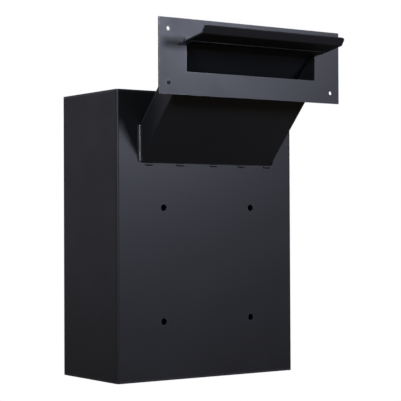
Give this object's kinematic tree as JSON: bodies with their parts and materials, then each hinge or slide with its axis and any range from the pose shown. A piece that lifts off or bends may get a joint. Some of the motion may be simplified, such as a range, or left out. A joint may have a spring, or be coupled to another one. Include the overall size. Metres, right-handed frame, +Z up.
{
  "type": "through-the-wall drop box",
  "caption": "Locking steel drop box with a sloping telescopic wall chute, a slotted faceplate with a hinged weather flap, and a hinged, cam-locked collection door.",
  "frame": {"origin": "centre of the four wall-fixing holes, on the outer face of the back panel", "axes": "+X across the box, +Y indoors towards the collection door, +Z up, so the wall-fixing pattern and the faceplate face -Y"},
  "size_m": [0.309, 0.3192, 0.4925],
  "materials": {
    "powder_coat": "satin black powder coat",
    "coated_weld": "satin black powder coat over a weld bead",
    "hinge_coat": "satin black powder coat",
    "pin_steel": "drawn steel wire",
    "lock_chrome": "bright nickel chrome plate",
    "zinc_plate": "bright zinc plate"
  },
  "bodies": {
    "box": {"body_wrap": "powder_coat", "top_panel": "powder_coat", "bottom_panel": "powder_coat", "chute_sleeve": "powder_coat", "chute_sleeve_cover": "powder_coat", "sleeve_side_welds": "coated_weld", "sleeve_stitch_welds": "coated_weld", "baffle": "powder_coat", "lock_strike": "powder_coat", "door_hinge_fixed_leaf": "hinge_coat", "door_hinge_pin": "pin_steel"},
    "door": {"door_panel": "powder_coat", "door_hinge_moving_leaf": "hinge_coat", "lock_cylinder": "lock_chrome", "lock_nut": "zinc_plate"},
    "lock": {"lock_plug": "lock_chrome", "lock_cam": "zinc_plate", "cam_washer": "zinc_plate", "cam_screw": "zinc_plate"},
    "chute": {"inner_chute": "powder_coat", "inner_chute_cover": "powder_coat", "faceplate": "powder_coat", "faceplate_welds": "coated_weld", "flap_hinge_fixed_leaf": "hinge_coat", "flap_hinge_pin": "pin_steel"},
    "flap": {"flap": "powder_coat", "flap_hinge_moving_leaf": "hinge_coat"}
  },
  "joints": [
    {"name": "door_hinge", "type": "hinge", "parent": "box", "child": "door", "pos_m": [0.1311, 0.1518, 0.0405], "axis": [0, 0, -1], "range_deg": [0, 110]},
    {"name": "lock_turn", "type": "hinge", "parent": "door", "child": "lock", "pos_m": [-0.108, 0.152, 0.0405], "axis": [0, -1, 0], "range_deg": [0, 90]},
    {"name": "chute_slide", "type": "slide", "parent": "box", "child": "chute", "axis": [0, -0.682, 0.7314], "range_m": [0, 0.11]},
    {"name": "flap_hinge", "type": "hinge", "parent": "chute", "child": "flap", "pos_m": [0, -0.1114, 0.2975], "axis": [1, 0, 0], "range_deg": [-69, 100]}
  ]
}
